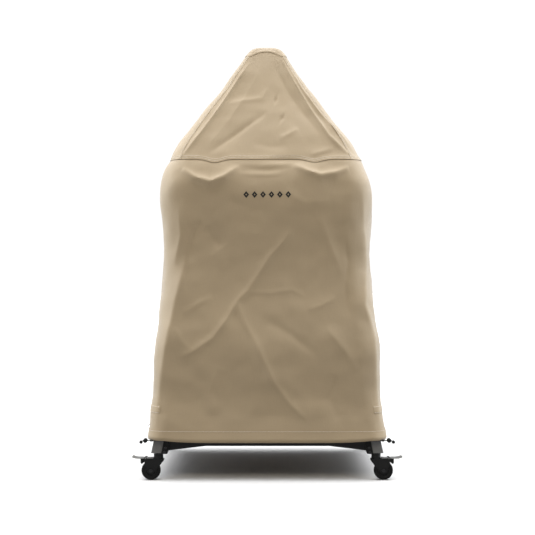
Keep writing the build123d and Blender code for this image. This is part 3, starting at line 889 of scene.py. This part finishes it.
def corner_tape(corner, side, column):
    """The flat-felled seam down a roof corner: a raised tape with a row of stitches at each edge."""
    points = GRIDS["roof", side][:, column]
    _, normal = surface(side, GRIDS["roof", side][..., 2])
    out = normal[:, column]
    down = np.gradient(points, axis=0)
    down /= np.linalg.norm(down, axis=1, keepdims=True)
    across = np.cross(down, out)
    grid = np.stack([points + across * TAPE_HALF * a + out * TAPE_RISE * b for a, b in TAPE_SECTION], axis=1)
    if np.dot(np.cross(grid[0, 1] - grid[0, 0], grid[1, 0] - grid[0, 0]), out[0]) < 0:
        grid = grid[:, ::-1]
    u = np.linspace(-TAPE_HALF, TAPE_HALF, len(TAPE_SECTION))
    uv = np.stack(np.broadcast_arrays(u[None, :], points[:, 2][:, None]), axis=-1)
    finished(cloth_object(f"roof_seam_{corner}", grid, uv, THIN_CLOTH), "canvas")
    for label, shift in TAPE_STITCHES.items():
        path = points + across * TAPE_HALF * shift + out * TAPE_RISE
        stitch_row(f"roof_stitch_{corner}_{label}", path, out)


corner_tape("front_left", "front", 0)
corner_tape("front_right", "front", -1)
corner_tape("rear_right", "back", 0)
corner_tape("rear_left", "back", -1)

# ---------------------------------------------------------------- straps, cord and mark


BAND_STAND, BAND_THICK, BAND_ROWS, BAND_STITCH_LIFT = 0.0012, 0.0014, 9, 0.0002
TAIL_HALF, TAIL_THICK, TAIL_STAND, TAIL_MARGIN = 0.0118, 0.0014, 0.0030, 0.001
TAIL_ROWS = 22
# how the tail's last rows narrow to its tip
TAIL_POINT = [0.97, 0.92, 0.84, 0.72, 0.56, 0.36]


def band(name, line, wide, half, thick, narrow):
    """A flat strap swept along a line of points, with soft edges; narrow is its width along the line."""
    along = np.gradient(line, axis=0)
    along /= np.linalg.norm(along, axis=1, keepdims=True)
    out = np.cross(wide[None, :], along)
    out /= np.linalg.norm(out, axis=1, keepdims=True)
    ribs = np.linspace(-1, 1, 9)
    crown = thick * (0.5 - 0.45 * np.abs(ribs) ** 6)
    widths = (half * np.array(narrow))[:, None, None]
    spread = wide[None, None, :] * widths * ribs[None, :, None]
    grid = line[:, None, :] + spread + out[:, None, :] * crown[None, :, None]
    uv = np.stack(np.broadcast_arrays(travelled(line)[:, None], (ribs * half)[None, :]), axis=-1)
    return finished(cloth_object(name, grid, uv, thick), "black_webbing")


def wall_strip(side, low, high):
    """A grid that follows one side of the skirt between two heights, stood off the cloth."""
    z = np.linspace(low, high, BAND_ROWS)[:, None]
    points, normal = surface(side, z)
    points = hang("skirt", points, normal)
    edge = np.abs(np.linspace(-1, 1, BAND_ROWS))[:, None, None] ** 6
    return points + normal * BAND_STAND * (1 - 0.85 * edge), normal


def make_straps():
    """A band sewn on each side of the skirt from corner to corner, a row of stitches at each edge."""
    for side in ("left", "right"):
        low, high = (corner[2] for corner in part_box(f"side_strap_{side}"))
        grid, normal = wall_strip(side, low, high)
        uv = np.stack(np.broadcast_arrays(travelled(grid[BAND_ROWS // 2])[None, :], grid[..., 2]), axis=-1)
        piece = finished(cloth_object(f"side_band_{side}", grid, uv, BAND_THICK), "canvas_webbing")
        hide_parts(f"side_strap_{side}")
        for label, row in (("low", 1), ("high", -2)):
            path = grid[row] + normal[row] * BAND_STITCH_LIFT
            stitch_row(f"band_stitch_{side}_{label}", path, normal[row])


make_straps()


def wall_at(side, y, z):
    """How far out the cloth of one side stands at a place."""
    grid = GRIDS["skirt", side].reshape(-1, 3)
    near = np.argsort(np.hypot(grid[:, 1] - y, grid[:, 2] - z))[:4]
    return float(np.abs(grid[near, 0]).max())


def make_tails():
    """The free end of each strap, hanging from its slider; the left one stands off the cloth at its tip."""
    low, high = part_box("strap_tails")
    middle_y = (low[1] + high[1]) / 2
    reach = abs(low[0]) - TAIL_THICK / 2
    narrow = [1.0] * (TAIL_ROWS - len(TAIL_POINT)) + TAIL_POINT
    heights = np.linspace(high[2] - TAIL_MARGIN, low[2] + TAIL_MARGIN, TAIL_ROWS)
    for side, sign in (("left", -1), ("right", 1)):
        line = []
        for z in heights:
            t = (heights[0] - z) / (heights[0] - heights[-1])
            stand = wall_at(side, middle_y, z) + TAIL_STAND
            if side == "left":
                stand += (reach - stand) * t**3
            line.append((sign * stand, middle_y, z))
        wide = np.array([0.0, -sign, 0.0])
        piece = band(f"strap_tail_{side}", np.array(line), wide, TAIL_HALF, TAIL_THICK, narrow)
        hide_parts("strap_tails")


make_tails()


CORD_Z, CORD_INSET, CORD_R, CORD_SIDES = 0.147, 0.009, 0.0019, 12


def tube(name, path, radius, closed):
    """A round cord along points, with its length and girth as its cloth map."""
    path = np.asarray(path)
    if closed:
        ahead = np.roll(path, -1, axis=0) - np.roll(path, 1, axis=0)
    else:
        ahead = np.gradient(path, axis=0)
    ahead /= np.linalg.norm(ahead, axis=1, keepdims=True)
    up = np.array([0.0, 0.0, 1.0])
    side = np.cross(ahead, up)
    side /= np.linalg.norm(side, axis=1, keepdims=True)
    top = np.cross(side, ahead)
    angle = np.linspace(0, 2 * math.pi, CORD_SIDES + 1)
    ring = np.cos(angle)[None, :, None] * side[:, None, :] + np.sin(angle)[None, :, None] * top[:, None, :]
    grid = path[:, None, :] + radius * ring
    uv = np.stack(np.broadcast_arrays(travelled(path)[:, None], (angle * radius)[None, :]), axis=-1)
    if closed:
        grid = np.concatenate([grid, grid[:1]])
        uv = np.concatenate([uv, uv[-1:] + (0.006, 0)])
    piece = cloth_object(name, grid[:, ::-1], uv[:, ::-1], 0)
    weld(piece, TUBE_WELD)
    bm = bmesh.new()
    bm.from_mesh(piece.data)
    bmesh.ops.holes_fill(bm, edges=[e for e in bm.edges if e.is_boundary])
    bmesh.ops.recalc_face_normals(bm, faces=bm.faces)
    bm.to_mesh(piece.data)
    bm.free()
    for face in piece.data.polygons:
        face.use_smooth = True
    return piece


def make_cord():
    """The drawcord: a loop inside the hem and a short end out through each lock."""
    loop = []
    for side in RING:
        points, normal = surface(side, np.full((1, columns(side)[0].size), HEM_Z))
        flat = normal[0].copy()
        flat[:, 2] = 0
        flat /= np.linalg.norm(flat, axis=1, keepdims=True)
        row = points[0] - flat * CORD_INSET
        row[:, 2] = CORD_Z
        loop.append(row[:-1])
    pieces = [tube("drawcord_loop", np.concatenate(loop), CORD_R, True)]
    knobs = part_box("cord_end_knobs")
    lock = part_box("cord_lock_right")
    lock_x = (lock[0][0] + lock[1][0]) / 2
    cord_y = (knobs[0][1] + knobs[1][1]) / 2
    for label, sign in (("left", -1), ("right", 1)):
        route = [(0.412, CORD_Z), (0.425, CORD_Z), (lock_x, CORD_Z), (lock_x + 0.0080, CORD_Z - 0.0002)]
        route += [(lock_x + 0.0100, CORD_Z - 0.0012), (lock_x + 0.0136, CORD_Z - 0.0040)]
        path = [(sign * x, cord_y, z) for x, z in route]
        pieces.append(tube(f"drawcord_end_{label}", path, CORD_R, False))
    for piece in pieces:
        finished(piece, "black_cord")
        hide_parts("hem_drawcord")


make_cord()


def apply_place():
    """Puts the place of the chosen piece in its mesh."""
    bpy.ops.object.transform_apply(location=True, rotation=True, scale=True)


def make_springs():
    """A coil behind each lock's button."""
    wire, wire_sides, turns, steps, travel = 0.0004, 10, 5, 24, 0.004
    for label in ("left", "right"):
        low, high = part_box(f"cord_lock_spring_{label}")
        length = high[1] - low[1]
        radius = (high[0] - low[0]) / 2 - wire
        bpy.ops.object.select_all(action="DESELECT")
        bpy.ops.mesh.primitive_circle_add(
            vertices=wire_sides, radius=wire, location=(radius, 0, 0), rotation=(math.pi / 2, 0, 0)
        )
        coil = bpy.context.object
        coil.name = f"lock_coil_{label}"
        apply_place()
        screw = coil.modifiers.new("turns", "SCREW")
        screw.iterations = turns
        screw.screw_offset = (length - 2 * wire) / turns
        screw.steps = screw.render_steps = steps
        bpy.ops.object.convert(target="MESH")
        bpy.ops.object.mode_set(mode="EDIT")
        bpy.ops.mesh.select_all(action="SELECT")
        bpy.ops.mesh.fill_holes(sides=0)
        bpy.ops.mesh.normals_make_consistent(inside=False)
        bpy.ops.object.mode_set(mode="OBJECT")
        bpy.ops.object.shade_smooth()
        coil.rotation_euler = (-math.pi / 2, 0, 0)
        coil.location = ((low[0] + high[0]) / 2, low[1] + wire, (low[2] + high[2]) / 2)
        apply_place()
        finished(coil, "spring_steel")
        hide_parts(f"cord_lock_spring_{label}")
        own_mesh(coil)


make_springs()


def make_mark():
    """A small printed row of plain diamonds at the top of the front panel."""
    middle_z, half_tall, half_wide, pitch, count = 1.049, 0.0125, 0.0105, 0.0310, 6
    outline, middle_hole, stand, thick = 1.0, 0.30, 0.0006, 0.0005
    flat = GRIDS["skirt", "front"].reshape(-1, 3)

    def on_cloth(x, z):
        gap = np.hypot(flat[:, 0] - x, flat[:, 2] - z)
        near = np.argsort(gap)[:4]
        weight = 1 / (gap[near] + 1e-6)
        return float((flat[near, 1] * weight).sum() / weight.sum())

    verts, faces = [], []
    for i in range(count):
        middle_x = (i - (count - 1) / 2) * pitch
        base = len(verts)
        for share in (outline, middle_hole):
            for dx, dz in ((0, -half_tall), (half_wide, 0), (0, half_tall), (-half_wide, 0)):
                x, z = middle_x + dx * share, middle_z + dz * share
                verts.append((x, on_cloth(x, z) - stand, z))
        for k in range(4):
            ahead = (k + 1) % 4
            faces.append((base + k, base + ahead, base + 4 + ahead, base + 4 + k))
    piece = linked("mark", verts, faces)
    choose(piece)
    thicken(piece, thick)
    finished(piece, "mark_ink")


make_mark()

# ---------------------------------------------------------------- floor

FLOOR_SIZE = 60
PALE, LESS_BOUNCE = (0.97, 0.97, 0.97, 1), (0.36, 0.36, 0.36, 1)

bpy.ops.object.select_all(action="DESELECT")
bpy.ops.mesh.primitive_plane_add(size=FLOOR_SIZE, location=(0, 0, 0))
floor = bpy.context.object
floor.name = "floor"
ground = Finish("ground", Roughness=0.9)
seen = ground.node("ShaderNodeLightPath", out="Is Camera Ray")
ground.give("Base Color", ground.mix(seen, LESS_BOUNCE, PALE))
floor.data.materials.append(ground.material)
unlit = bpy.data.collections.new("not_lit_from_the_sides")
unlit.objects.link(floor)
unlit.collection_objects[0].light_linking.link_state = "EXCLUDE"
for box in (left_box, right_box):
    box.light_linking.receiver_collection = unlit
